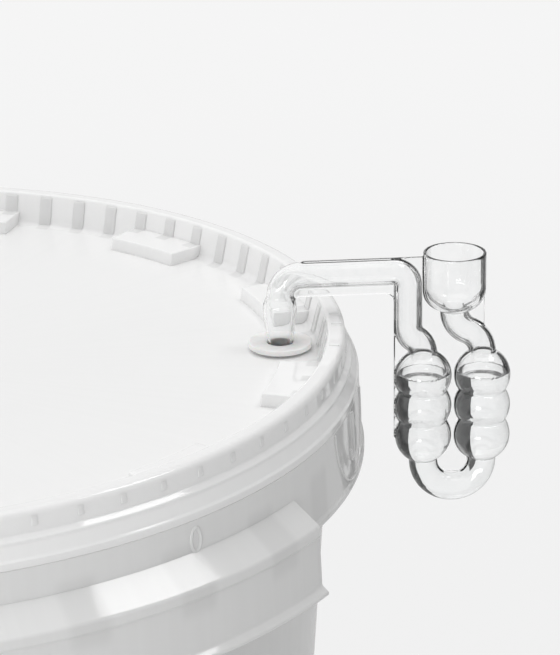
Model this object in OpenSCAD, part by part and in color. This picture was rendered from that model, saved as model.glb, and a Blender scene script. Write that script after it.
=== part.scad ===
// Fermenting bucket with a clip-on lid, a rubber grommet and a six-bulb water-seal airlock.
// Millimetres. Origin: centre of the bucket's flat base. +Z is up, and the airlock's arm leaves towards +X.

/* [Bucket] */
// Height from the base to the top of the rim
bucket_h = 376; // [300:1:420]
// Outside radius of the rim wall
mouth_r = 188; // [170:0.5:200]
// Outside radius of the body at the base
base_r = 161; // [140:0.5:168]
// How much smaller the body is under the collar than at the rim
neck_in = 6.5; // [3:0.5:9]
// Depth from the rim's top to the neck under the collar
neck_drop = 66; // [64:1:80]
// Wall of the body
wall = 2; // [1.6:0.1:2.6]
// Thickness of the base
floor_t = 2.6; // [2:0.1:4]
// Rounding between base and body
base_round = 7; // [4:0.5:12]

/* [Collar] */
// Direction that the collar's plain side faces, from +X
collar_az = -2; // [-10:0.5:10]
// Half the angle of each plain stretch of collar
plain_half = 28; // [20:1:34]
// Width of the shelf under the lid
shelf_w = 7; // [6:0.1:9]
// Wall of the collar and its apron
collar_t = 1.8; // [1.4:0.1:2.2]
// Height of the collar's plain wall under the shelf
collar_h = 28.5; // [24:0.5:32]
// Height of the plain wall above the apron's shoulder
shoulder_drop = 11; // [8:0.5:14]
// How far the apron stands out from the collar
apron_out = 9.6; // [7:0.1:11]
// Height of the apron's sloping shoulder
shoulder_h = 8; // [5:0.5:10]
// Height of the apron's upright wall
apron_h = 22; // [18:0.5:24]
// How far the apron's foot flares out
flare = 3.4; // [2:0.1:4]
// Number of gussets behind the collar
gussets = 16; // [8:4:24]
// Thickness of a gusset
gusset_t = 1.6; // [1.2:0.1:2.4]
// Radius of the half-round pad under the lid's edge
pad_r = 26; // [18:0.5:27]
// Direction of the pad, from the middle of the plain stretch
pad_az = -9.5; // [-12:0.5:12]
// How far the pad's lines stand out from the collar
pad_out = 0.6; // [0.4:0.1:1]
// Depth from the rim's top to the ring that the lid clips under
ring_drop = 9; // [8:0.1:9.5]

/* [Lid] */
// Wall of the lid
lid_t = 1.7; // [1.5:0.05:1.9]
// Depth of the panel below the lid's top
panel_drop = 12.5; // [10:0.5:14]
// Thickness of the panel
panel_t = 2; // [1.6:0.1:2.6]
// Height of the skirt
skirt_h = 17.6; // [17:0.1:17.9]
// How far the skirt's foot stands out from its top
skirt_out = 5; // [4.5:0.1:5.5]
// Gap between the lid's walls and the rim
lid_gap = 0.3; // [0.2:0.05:0.5]
// Number of ribs round the inner wall and the skirt
lid_ribs = 72; // [44:4:88]
// Width of a rib on the inner wall
rib_w = 6; // [3:0.5:7]
// How far a rib stands out from the inner wall at its top
rib_out = 1; // [0.6:0.1:2]
// Number of stacking blocks
blocks = 12; // [8:1:12]
// Angle that a stacking block covers
block_angle = 12; // [10:0.5:16]
// How far a stacking block reaches in from the wall
block_in = 19.5; // [18:0.5:30]
// Height of a stacking block above the panel
block_h = 5.6; // [4:0.2:7]
// Direction of the first stacking block, from +X
block_az = 19; // [17:0.5:20]

/* [Seal and grommet] */
// Thickness of the sealing ring
seal_t = 1.2; // [0.8:0.1:1.6]
// Distance from the lid's inner wall to the middle of the grommet
grommet_in = 18.9; // [16:0.1:22]
// Sideways place of the grommet
grommet_y = 12.7; // [10:0.1:14]
// Flange radius of the grommet
flange_r = 12.2; // [11:0.1:13]
// Flange thickness of the grommet
flange_t = 2.2; // [1.6:0.1:3]
// Stem radius of the grommet
stem_r = 8.4; // [7.5:0.1:9]
// How far the stem reaches below the flange
stem_h = 9; // [7:0.5:12]
// Running gap round the grommet and round the airlock's leg
push_gap = 0.06; // [0.03:0.01:0.1]

/* [Airlock] */
// Turn of the airlock about its leg, from +X
lock_turn = 4.5; // [-20:0.5:20]
// Outside diameter of the tube
tube_d = 10; // [9:0.1:11]
// Wall of the moulding
lock_t = 1.1; // [0.9:0.05:1.3]
// Height of the arm's centreline above the panel
arm_rise = 28.5; // [26:0.5:32]
// Outside radius of the leg where it swells
leg_swell_r = 6.5; // [5.8:0.1:7]
// Outside radius of the leg in the grommet
leg_r = 4.9; // [4.5:0.05:5.2]
// How far the leg reaches below the flange's top
leg_in = 13; // [11:0.5:16]
// Distance from the leg to the down tube
down_x = 49.3; // [47:0.1:52]
// Distance from the leg to the first column of bulbs
col_x = 55.1; // [54:0.1:58]
// Distance between the two columns of bulbs
col_gap = 23.3; // [22.6:0.1:25]
// Outside radius of a bulb
bulb_r = 10.7; // [9.5:0.1:11]
// Number of bulbs in a column
bulbs = 3; // [2:1:4]
// Distance between two bulbs
bulb_pitch = 12.4; // [11:0.1:14]
// Depth of the top bulb's middle below the arm's centreline
bulb_drop = 43; // [42:0.5:46]
// Distance from the leg to the filling cup
cup_x = 67.2; // [66.5:0.1:70]
// Outside radius of the filling cup
cup_r = 12; // [11:0.1:12.4]
// Height of the cup's rim above the arm's centreline
cup_rise = 7; // [5:0.5:10]
// Depth of the cup from its rim to its foot
cup_h = 25.5; // [22:0.5:27]
// Rounding between the cup's wall and its foot
cup_round = 8.8; // [6:0.1:9.5]
// Height of the S bend under the down tube
s_bend_h = 11.5; // [9:0.5:13]
// Thickness of the flat web that joins the tubes
web_t = 1.4; // [1:0.1:2]
// Height of the web under the arm
web_strip = 3.7; // [2:0.1:5]
// Water level below the middle of the top bulbs
water_drop = 0.5; // [0.3:0.1:3]

/* [Handle] */
// Diameter of the handle's wire
wire_d = 4.5; // [4:0.1:5]
// Distance from the pivots to the grip
handle_reach = 250; // [245:1:270]
// Gap between the body and the grip when the handle hangs
rest_gap = 1; // [0.5:0.1:4]
// Depth of the pivots below the apron's shoulder
pivot_drop = 10; // [9:0.5:11]
// Outside diameter of the grip
grip_d = 22; // [20:0.5:24]
// Length of the grip
grip_l = 104; // [90:1:112]

/* [Hidden] */
$fn = 96;
round_fn = 360;

// Heights
seal_gap = 0.1;
lid_z = bucket_h + seal_gap + seal_t + lid_t;
panel_z = lid_z - panel_drop;
shelf_gap = 0.8;
shelf_z = lid_z - skirt_h - shelf_gap;
shoulder_z = shelf_z - shoulder_drop;
apron_foot_z = shoulder_z - shoulder_h - apron_h - flare;

// Neck, and the lean of the body's wall
neck_r = mouth_r - neck_in;
neck_z0 = bucket_h - neck_drop;
lean = atan((neck_r - base_r) / (neck_z0 - base_round));

// Radii of the lid's channel, which the rim sits in
rim_in = mouth_r - wall;
channel_in = rim_in - lid_gap;
channel_out = mouth_r + lid_gap;
lid_in = channel_in - lid_t + 0.2;
lid_out = channel_out + lid_t;
skirt_r = lid_out + skirt_out;
grommet_x = lid_in - grommet_in;

// Radii of the collar
collar_r = mouth_r + shelf_w;
collar_foot_r = collar_r + 1.2;
apron_r = collar_r + apron_out + 1.4;
flange_out_r = apron_r + flare;
lip = 0.8;
bead = 0.5;

// Airlock, in its own frame: x along the arm, z up from the panel
arm_z = arm_rise;
tube_r = tube_d / 2;
elbow_r = 8.3;
knee_r = tube_r + 1;
col2_x = col_x + col_gap;
bulb_z = arm_z - bulb_drop;
last_bulb_z = bulb_z - (bulbs - 1) * bulb_pitch;
neck_z = bulb_z + sqrt(bulb_r * bulb_r - tube_r * tube_r);
u_tube_r = tube_r + 0.3;
u_z = last_bulb_z - sqrt(bulb_r * bulb_r - u_tube_r * u_tube_r) - 0.9;
cup_rim_z = arm_z + cup_rise;
cup_foot_z = cup_rim_z - cup_h;
cup_mid_z = cup_foot_z + cup_round;
leg_top_z = arm_z - elbow_r;
leg_swell_z = leg_top_z - 5.2;
leg_seat_z = flange_t;
leg_tip_z = flange_t - leg_in;
down_bend_z = neck_z + s_bend_h;
water_z = bulb_z - water_drop;
water_gap = 0.02;
// A bend is this much slimmer than the straight run that laps over its end
seam = 0.05;
lap = 0.2;

// Handle
ear_az = collar_az + 90;
pivot_z = shoulder_z - shoulder_h - pivot_drop;
wire_r = wire_d / 2;
wire_bend = 6;
boss_out_r = flange_out_r + 0.6;
leg_u = boss_out_r + wire_bend + 0.4;
grip_half = grip_l / 2 + 8;
corner_r = leg_u - grip_half;
head_r = wire_r + 1.4;
// The handle hangs at this angle below level, where the grip comes to its gap from the leaning wall
grip_at = base_r + (pivot_z - base_round) * tan(lean) + (grip_d / 2 + rest_gap) / cos(lean);
hang = lean + acos(grip_at * cos(lean) / handle_reach);
boss_r = 8;

// Points of an arc about (x, y), from angle a to angle b
function arc(x, y, r, a, b, n = 8) = [for (i = [0 : n]) [x + r * cos(a + (b - a) * i / n),
    y + r * sin(a + (b - a) * i / n)]];

// A profile of radius and height turned about the bucket's axis, over an angle about direction az
module turned(points, az = 0, angle = 360) {
  rotate([0, 0, az - (angle < 360 ? angle / 2 : 0)])
    rotate_extrude(angle = angle, $fn = round_fn) polygon(points);
}

// An upright plate of thickness t in direction az, with a profile of radius and height
module plate(az, t, points) {
  rotate([0, 0, az]) translate([0, t / 2, 0]) rotate([90, 0, 0]) linear_extrude(t) polygon(points);
}

// BUCKET

module bucket_shell() {
  rim_z = shelf_z - 2;
  outside = concat(
    [[0, 0]],
    arc(base_r - base_round, base_round, base_round, -90, 0),
    [[neck_r, neck_z0], [neck_r + 3, neck_z0 + 8], [mouth_r, rim_z], [mouth_r, bucket_h - 0.8],
     [mouth_r - 0.8, bucket_h]]);
  inside = concat(
    [[rim_in + 0.5, bucket_h], [rim_in, bucket_h - 0.5], [rim_in, rim_z],
     [neck_r + 3 - wall, neck_z0 + 8], [neck_r - wall, neck_z0]],
    arc(base_r - wall - base_round, floor_t + base_round, base_round, 0, -90),
    [[0, floor_t]]);
  turned(concat(outside, inside));
}

// The ring on the rim that the lid's skirt clips under
module clip_ring() {
  ring_z = bucket_h - ring_drop;
  turned([[mouth_r - 1, ring_z + 1], [mouth_r + 1.3, ring_z], [mouth_r + 1.3, ring_z - 1.6],
          [mouth_r - 1, ring_z - 2.6]]);
}

module collar() {
  foot_z = shelf_z - collar_h;
  turned([[mouth_r - 1, shelf_z], [collar_r, shelf_z], [collar_foot_r, foot_z + 3.2],
          [collar_foot_r + lip, foot_z + 2.4], [collar_foot_r + lip, foot_z + 0.6],
          [collar_foot_r + lip - 0.6, foot_z], [collar_foot_r - collar_t, foot_z],
          [collar_r - collar_t, shelf_z - 2], [mouth_r - 1, shelf_z - 2]]);
}

function apron_skin() = [
  [collar_r, shoulder_z + 0.6],
  [apron_r - bead, shoulder_z - shoulder_h + 0.6],
  [apron_r + bead, shoulder_z - shoulder_h - 0.6],
  [apron_r + bead, shoulder_z - shoulder_h - 3],
  [apron_r, shoulder_z - shoulder_h - 3.8],
  [apron_r + 0.8, shoulder_z - shoulder_h - apron_h],
  [flange_out_r, apron_foot_z + 1.2],
  [flange_out_r, apron_foot_z]
];

function apron_back() = [
  [flange_out_r - collar_t, apron_foot_z],
  [apron_r + 0.8 - collar_t, shoulder_z - shoulder_h - apron_h - 0.6],
  [apron_r - collar_t, shoulder_z - shoulder_h - 1.4],
  [collar_r, shoulder_z - collar_t]
];

module apron(az) {
  angle = 180 - 2 * plain_half;
  end_angle = angle / 2 - 2 * asin(collar_t / 2 / apron_r);
  turned(concat(apron_skin(), apron_back()), az, angle);
  for (side = [-1, 1])
    plate(az + side * end_angle, collar_t * 0.8, [
      [collar_r - 0.4, shoulder_z], [apron_r - 2 * bead, shoulder_z - shoulder_h],
      [apron_r - bead, shoulder_z - shoulder_h - 3.4], [apron_r, shoulder_z - shoulder_h - apron_h + 1],
      [apron_r - collar_t, shoulder_z - shoulder_h - apron_h],
      [collar_foot_r - 0.6, shelf_z - collar_h + 1]]);
}

// Gussets between the body and the collar, under the shelf
module collar_gussets() {
  top = shelf_z - 1;
  for (i = [0 : gussets - 1])
    plate(collar_az + i * 360 / gussets, gusset_t, [
      [mouth_r - 1.4, top], [collar_r - 1, top], [collar_foot_r - 1, shelf_z - collar_h + 4],
      [neck_r + 1.6 + (mouth_r - neck_r) / 3, shelf_z - collar_h - 2]]);
}

// The half-round line on the plain stretch, with a hooked rib down its middle
module collar_pad() {
  top = shelf_z - 1;
  deep = 9;
  line = 1.4;
  hook = pad_r * 0.28;
  foot = -pad_r * 0.74;
  rotate([0, 0, collar_az + pad_az]) intersection() {
    translate([collar_r - 1, 0, top]) rotate([0, 90, 0]) {
      difference() {
        cylinder(h = deep, r = pad_r);
        translate([0, 0, -1]) cylinder(h = deep + 2, r = pad_r - line);
      }
      translate([0, -line, 0]) cube([-foot, 2 * line, deep]);
      translate([-foot - 2 * line, -hook, 0]) cube([2 * line, hook, deep]);
      translate([-foot - 3 * line - hook / 2, -hook, 0]) cube([line + hook / 2, 1.5 * line, deep]);
    }
    turned([[collar_r - 0.6, top], [collar_r + pad_out, top],
            [collar_foot_r + pad_out, shelf_z - collar_h + 3.2],
            [collar_r - 0.6, shelf_z - collar_h + 3.2]], 0, 40);
  }
}

module pivot_boss(side) {
  rotate([0, 0, ear_az]) translate([side * (apron_r - 1), 0, pivot_z]) rotate([0, side * 90, 0])
    cylinder(h = boss_out_r - apron_r + 1, r = boss_r);
}

module pivot_bore(side) {
  rotate([0, 0, ear_az]) translate([side * (collar_foot_r + 2), 0, pivot_z]) rotate([0, side * 90, 0])
    cylinder(h = boss_out_r - collar_foot_r, r = wire_r + 0.08);
}

module bucket() {
  color([0.93, 0.94, 0.93]) difference() {
    union() {
      bucket_shell();
      clip_ring();
      collar();
      for (side = [0, 180]) apron(ear_az + side);
      collar_gussets();
      collar_pad();
      for (side = [-1, 1]) pivot_boss(side);
    }
    for (side = [-1, 1]) pivot_bore(side);
  }
}

// LID

module lid_shell() {
  z = lid_z;
  clip_r = mouth_r + 1.3 + lid_gap;
  foot_in = skirt_r - lid_t;
  fillet = 3;
  outside = [
    [0, panel_z], [lid_in - 1.2 - fillet, panel_z], [lid_in - 1.8, panel_z + 0.7],
    [lid_in - 0.9, panel_z + fillet],
    [lid_in, z - 0.8], [lid_in + 0.8, z], [lid_out - 1, z], [lid_out, z - 1],
    [lid_out + 0.3, z - 6.4], [lid_out + 1.5, z - 6.9], [lid_out + 2.1, z - 7.8], [lid_out + 2, z - 9],
    [skirt_r - 0.8, z - skirt_h + 2.9], [skirt_r, z - skirt_h + 2.2], [skirt_r, z - skirt_h]];
  inside = [
    [clip_r, z - skirt_h], [clip_r, z - skirt_h + 1], [foot_in - 1, z - skirt_h + 1.6],
    [lid_out + 0.6, z - 9.2], [channel_out + 0.2, z - 7.6], [channel_out, z - 6.8],
    [channel_out, z - lid_t], [channel_in, z - lid_t], [channel_in, panel_z - panel_t + 1.4],
    [channel_in - 1.2, panel_z - panel_t], [0, panel_z - panel_t]];
  turned(concat(outside, inside));
}

// Ribs round the inner wall, and the small ones on the two bands of the skirt
module lid_wall_ribs() {
  for (i = [0 : lid_ribs - 1])
    rotate([0, 0, block_az + (i + 0.5) * 360 / lid_ribs]) {
      translate([lid_in - rib_out, -rib_w / 2, panel_z - 0.5]) cube([rib_out + 0.6, rib_w, panel_drop - 2.5]);
      translate([lid_out - 0.4, -0.6, lid_z - 6.2]) cube([0.9, 1.2, 4.6]);
    }
}

module stacking_block(az) {
  far = lid_in - block_in;
  top = panel_z + block_h;
  skin = 1.8;
  side_angle = 2 * asin(skin / far);
  difference() {
    turned([[far, panel_z - 0.5], [far + 0.4, top - 0.5], [far + 0.9, top], [lid_in + 0.4, top],
            [lid_in + 0.4, panel_z - 0.5]], az, block_angle);
    turned([[far + skin, panel_z - panel_t - 1], [far + skin + 0.3, top - skin],
            [lid_in - skin, top - skin], [lid_in - skin, panel_z - panel_t - 1]],
           az, block_angle - side_angle);
  }
}

module block_pocket(az) {
  far = lid_in - block_in;
  skin = 1.8;
  side_angle = 2 * asin(skin / far);
  turned([[far + skin, panel_z - panel_t - 1], [far + skin + 0.1, panel_z + 0.1],
          [lid_in - skin - 1, panel_z + 0.1], [lid_in - skin - 1, panel_z - panel_t - 1]],
         az, block_angle - side_angle);
}

module lid() {
  color([0.95, 0.95, 0.95]) difference() {
    union() {
      difference() {
        lid_shell();
        for (i = [0 : blocks - 1]) block_pocket(block_az + i * 360 / blocks);
      }
      lid_wall_ribs();
      for (i = [0 : blocks - 1]) stacking_block(block_az + i * 360 / blocks);
    }
    translate([grommet_x, grommet_y, panel_z - panel_t - 1])
      cylinder(h = panel_t + 2, r = stem_r + push_gap);
  }
}

module lid_seal() {
  side_gap = 0.15;
  color([0.9, 0.9, 0.88]) turned([
    [channel_in + side_gap, bucket_h + seal_gap], [channel_out - side_gap, bucket_h + seal_gap],
    [channel_out - side_gap, lid_z - lid_t], [channel_in + side_gap, lid_z - lid_t]]);
}

// GROMMET

module grommet() {
  lift = 0.05;
  edge = 0.5;
  bore_r = leg_r + push_gap;
  color([0.96, 0.96, 0.95]) translate([grommet_x, grommet_y, panel_z + lift])
    rotate_extrude() polygon([
      [bore_r, flange_t - 0.4], [bore_r + 0.4, flange_t], [flange_r - edge, flange_t],
      [flange_r, flange_t - edge], [flange_r, edge], [flange_r - edge, 0], [stem_r, 0],
      [stem_r, -stem_h + 2], [stem_r - 1.2, -stem_h], [bore_r, -stem_h]]);
}

// AIRLOCK

// A straight upright run of tube of radius r, lapping over the bends at its ends
module run_z(x, z0, z1, r) {
  translate([x, 0, z0 - lap]) cylinder(h = z1 - z0 + 2 * lap, r = r);
}

// A bend of tube in the airlock's plane: centre (x, z), bend radius b, from angle a over a sweep
module bend(x, z, b, r, a, sweep) {
  translate([x, 0, z]) rotate([90, 0, 0]) rotate([0, 0, a])
    rotate_extrude(angle = sweep) translate([b, 0]) circle(r = r - seam);
}

// An S of two equal bends from (x0, z0) down to (x1, z1)
module s_bend(x0, z0, x1, z1, r) {
  turn = 2 * atan((x1 - x0) / (z0 - z1));
  b = (z0 - z1) / 2 / sin(turn);
  bend(x0 + b, z0, b, r, 180, turn);
  bend(x1 - b, z1, b, r, 0, turn);
  translate([(x0 + x1) / 2, 0, (z0 + z1) / 2]) rotate([0, 180 - turn, 0])
    cylinder(h = 2 * lap, r = r, center = true);
}

// The leg: swelled under the elbow, straight where it sits in the grommet
module leg(grow) {
  r = leg_r - lock_t + grow;
  swell = leg_swell_r - lock_t + grow;
  over = grow > 0 ? 0 : 1;
  rotate_extrude() polygon([
    [0, leg_top_z + lap], [tube_r - lock_t + grow, leg_top_z + lap],
    [swell - 0.4, leg_swell_z + 1.6], [swell, leg_swell_z], [swell - 0.2, leg_swell_z - 1.6],
    [r + 0.2, leg_seat_z + 1.5], [r, leg_seat_z + 0.6], [r, leg_tip_z - over], [0, leg_tip_z - over]]);
}

// The whole airway, grown outwards by the wall for the outside of the moulding
module airway(grow) {
  r = tube_r - lock_t + grow;
  ball = bulb_r - lock_t + grow;
  cup = cup_r - lock_t + grow;
  over = grow > 0 ? 0 : 1;
  leg(grow);
  bend(elbow_r, leg_top_z, elbow_r, r, 90, 90);
  translate([elbow_r - lap, 0, arm_z]) rotate([0, 90, 0])
    cylinder(h = down_x - knee_r - elbow_r + 2 * lap, r = r);
  bend(down_x - knee_r, arm_z - knee_r, knee_r, r, 0, 90);
  run_z(down_x, down_bend_z, arm_z - knee_r, r);
  s_bend(down_x, down_bend_z, col_x, neck_z, r);
  for (x = [col_x, col2_x]) run_z(x, neck_z - 2, neck_z, r);
  wet_part(ball, u_tube_r - lock_t + grow);
  // filling cup and its neck
  round = cup_round - lock_t + grow;
  translate([cup_x, 0, 0]) rotate_extrude() polygon(concat(
    [[0, cup_mid_z - round]], arc(cup - round, cup_mid_z, round, -90, 0),
    [[cup, cup_rim_z + over], [0, cup_rim_z + over]]));
  run_z(cup_x, cup_foot_z, cup_foot_z + 4, r);
  s_bend(cup_x, cup_foot_z, col2_x, neck_z, r);
}

// The two columns of bulbs and the bend that joins them
module wet_part(ball, u_r) {
  for (x = [col_x, col2_x]) {
    for (i = [0 : bulbs - 1]) translate([x, 0, bulb_z - i * bulb_pitch]) sphere(r = ball);
    run_z(x, u_z, last_bulb_z - bulb_r + 5, u_r);
  }
  bend((col_x + col2_x) / 2, u_z, col_gap / 2, u_r, 180, 180);
}

// The flat web in the airlock's mid-plane
module web() {
  edge = 0.5;
  left = down_x - tube_r - edge;
  top = arm_z + tube_r + edge;
  under = arm_z - tube_r - web_strip;
  corner = 3.5;
  outline = concat(
    [[elbow_r - 2, top - 2], [elbow_r + 1, top], [cup_x, top], [cup_x, cup_mid_z - 2],
     [cup_x + cup_r - 0.4, cup_mid_z - 2], [cup_x + cup_r - 0.4, bulb_z], [col2_x, bulb_z],
     [col2_x, u_z], [col2_x - 2, u_z - 5], [col_x + 2, u_z - 5], [col_x, u_z], [col_x, last_bulb_z],
     [left, last_bulb_z]],
    arc(left - corner, under - corner, corner, 0, 90, 6),
    arc(tube_r + corner, under - corner, corner, 90, 180, 6));
  translate([0, web_t / 2, 0]) rotate([90, 0, 0]) linear_extrude(web_t) polygon(outline);
}

module in_lock_frame() {
  translate([grommet_x, grommet_y, panel_z]) rotate([0, 0, lock_turn]) children();
}

module airlock() {
  color([0.85, 0.9, 0.92, 0.5]) in_lock_frame() difference() {
    union() {
      airway(lock_t);
      web();
    }
    airway(0);
  }
}

module sealing_water() {
  half = 14;
  color([0.7, 0.8, 0.85, 0.6]) in_lock_frame() intersection() {
    wet_part(bulb_r - lock_t - water_gap, u_tube_r - lock_t - water_gap);
    translate([col_x - half, -half, u_z - 2 * half])
      cube([col_gap + 2 * half, 2 * half, water_z - u_z + 2 * half]);
  }
}

// HANDLE

// The handle's own frame: u along the pivots, t towards the grip, in the plane in which it hangs
module in_handle_frame() {
  translate([0, 0, pivot_z]) rotate([0, 0, ear_az]) rotate([-hang, 0, 0]) children();
}

module wire_bend_at(u, t, b, a) {
  translate([u, t, 0]) rotate([0, 0, a]) rotate_extrude(angle = 90) translate([b, 0]) circle(r = wire_r);
}

module wire_side(side) {
  head_u = collar_foot_r + 3.4;
  mirror([side, 0, 0]) {
    translate([head_u, 0, 0]) rotate([0, 90, 0]) cylinder(h = leg_u - wire_bend - head_u, r = wire_r);
    translate([head_u, 0, 0]) rotate([0, 90, 0]) cylinder(h = 1.6, r = head_r);
    wire_bend_at(leg_u - wire_bend, wire_bend, wire_bend, -90);
    translate([leg_u, wire_bend, 0]) rotate([-90, 0, 0])
      cylinder(h = handle_reach - corner_r - wire_bend, r = wire_r);
    wire_bend_at(leg_u - corner_r, handle_reach - corner_r, corner_r, 0);
    translate([-0.01, handle_reach, 0]) rotate([0, 90, 0]) cylinder(h = grip_half + 0.01, r = wire_r);
  }
}

module handle_wire() {
  color([0.8, 0.8, 0.8]) in_handle_frame() for (side = [0, 1]) wire_side(side);
}

module handle_grip() {
  ribs = 8;
  color([0.94, 0.94, 0.94]) in_handle_frame() translate([0, handle_reach, 0]) rotate([0, 90, 0])
    difference() {
      union() {
        translate([0, 0, -grip_l / 2]) cylinder(h = grip_l, r = grip_d / 2 - 1.5);
        for (i = [0 : ribs])
          translate([0, 0, -grip_l / 2 + i * (grip_l - 4) / ribs]) cylinder(h = 4, r = grip_d / 2);
      }
      translate([0, 0, -grip_l / 2 - 1]) cylinder(h = grip_l + 2, r = wire_r + 0.08);
    }
}

bucket();
lid();
lid_seal();
grommet();
airlock();
sealing_water();
handle_wire();
handle_grip();
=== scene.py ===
# Fermenting bucket with a clip-on lid and a bulb-type water-seal airlock: finishes, light and camera.
from math import cos, pi, radians, sin, sqrt
import bmesh
import bpy
import numpy as np
from mathutils import Matrix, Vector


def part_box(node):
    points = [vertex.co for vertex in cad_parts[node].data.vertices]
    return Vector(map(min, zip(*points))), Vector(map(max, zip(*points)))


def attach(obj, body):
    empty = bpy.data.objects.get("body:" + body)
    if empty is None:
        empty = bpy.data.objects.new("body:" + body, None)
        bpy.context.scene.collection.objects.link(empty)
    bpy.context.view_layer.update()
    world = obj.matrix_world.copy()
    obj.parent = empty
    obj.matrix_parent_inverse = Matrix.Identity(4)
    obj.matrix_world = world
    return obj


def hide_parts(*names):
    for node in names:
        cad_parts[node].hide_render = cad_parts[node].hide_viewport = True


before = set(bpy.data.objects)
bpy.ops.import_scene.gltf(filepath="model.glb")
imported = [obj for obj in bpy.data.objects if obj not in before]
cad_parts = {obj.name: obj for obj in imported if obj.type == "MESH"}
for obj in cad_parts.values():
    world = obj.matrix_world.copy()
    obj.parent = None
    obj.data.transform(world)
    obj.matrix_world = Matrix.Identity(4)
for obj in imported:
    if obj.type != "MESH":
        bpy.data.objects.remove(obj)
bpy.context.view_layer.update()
MM = 0.001


# ---- Shader sockets as numbers ----

class Value:
    """A shader output that takes part in Python arithmetic. Each operation adds a Math node."""

    def __init__(self, tree, socket):
        self.tree, self.socket = tree, socket

    def maths(self, operation, *terms):
        node = self.tree.nodes.new("ShaderNodeMath")
        node.operation = operation
        for place, term in zip(node.inputs, terms):
            join(self.tree, place, term)
        return Value(self.tree, node.outputs[0])

    def __add__(self, other): return self.maths("ADD", self, other)
    def __radd__(self, other): return self.maths("ADD", other, self)
    def __sub__(self, other): return self.maths("SUBTRACT", self, other)
    def __rsub__(self, other): return self.maths("SUBTRACT", other, self)
    def __mul__(self, other): return self.maths("MULTIPLY", self, other)
    def __rmul__(self, other): return self.maths("MULTIPLY", other, self)
    def __truediv__(self, other): return self.maths("DIVIDE", self, other)
    def __pow__(self, other): return self.maths("POWER", self, other)
    def cosine(self): return self.maths("COSINE", self)
    def root(self): return self.maths("SQRT", self)
    def around(self, other): return self.maths("ARCTAN2", self, other)

    def ramp(self, low, high, start=0.0, end=1.0):
        """Goes smoothly from start to end while this value goes from low to high."""
        node = self.tree.nodes.new("ShaderNodeMapRange")
        node.interpolation_type = "SMOOTHSTEP"
        for name, term in (("Value", self), ("From Min", low), ("From Max", high), ("To Min", start), ("To Max", end)):
            join(self.tree, node.inputs[name], term)
        return Value(self.tree, node.outputs[0])


def join(tree, place, term):
    """Puts a number, a colour or a link into a socket."""
    if isinstance(term, Value):
        tree.links.new(term.socket, place)
    elif term is not None:
        place.default_value = term


class Finish:
    """A node material in the making."""

    def __init__(self, name):
        self.material = bpy.data.materials.new(name)
        self.material.use_nodes = True
        self.tree = self.material.node_tree
        self.tree.nodes.clear()

    def node(self, kind, settings=None, out=0, **terms):
        """Adds a node: its settings first, then the values or links of its sockets."""
        made = self.tree.nodes.new("ShaderNode" + kind)
        for name, setting in (settings or {}).items():
            setattr(made, name, setting)
        for name, term in terms.items():
            join(self.tree, made.inputs[name.replace("_", " ")], term)
        return Value(self.tree, made.outputs[out])

    def place(self, scale=(1, 1, 1), turn=(0, 0, 0)):
        """The point on the piece, in its own metres, stretched or turned."""
        own = self.node("TexCoord", out="Object")
        if tuple(scale) == (1, 1, 1) and tuple(turn) == (0, 0, 0):
            return own
        return self.node("Mapping", Vector=own, Scale=scale, Rotation=turn)

    def noise(self, scale, detail=2.0, roughness=0.5, at=None):
        return self.node("TexNoise", Vector=at or self.place(), Scale=scale, Detail=detail, Roughness=roughness)

    def blend(self, low, high, factor):
        """A colour between two others."""
        made = self.tree.nodes.new("ShaderNodeMix")
        made.data_type = "RGBA"
        join(self.tree, made.inputs["Factor"], factor)
        for place, term in ((made.inputs[6], low), (made.inputs[7], high)):
            join(self.tree, place, term if isinstance(term, Value) else (*term, 1))
        return Value(self.tree, made.outputs[2])

    def bump(self, height, distance, strength=1.0, normal=None):
        return self.node("Bump", Height=height, Distance=distance, Strength=strength, Normal=normal)

    def surface(self, shader):
        out = self.tree.nodes.new("ShaderNodeOutputMaterial")
        join(self.tree, out.inputs["Surface"], shader)
        return self.material

    def principled(self, colour, roughness, normal=None, **constants):
        terms = {"Base Color": colour if isinstance(colour, Value) else (*colour, 1), "Roughness": roughness}
        terms.update({name.replace("_", " "): value for name, value in constants.items()})
        made = self.tree.nodes.new("ShaderNodeBsdfPrincipled")
        if normal:
            terms["Normal"] = normal
        for name, term in terms.items():
            join(self.tree, made.inputs[name], term)
        return Value(self.tree, made.outputs[0])


# ---- Finishes ----

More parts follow.
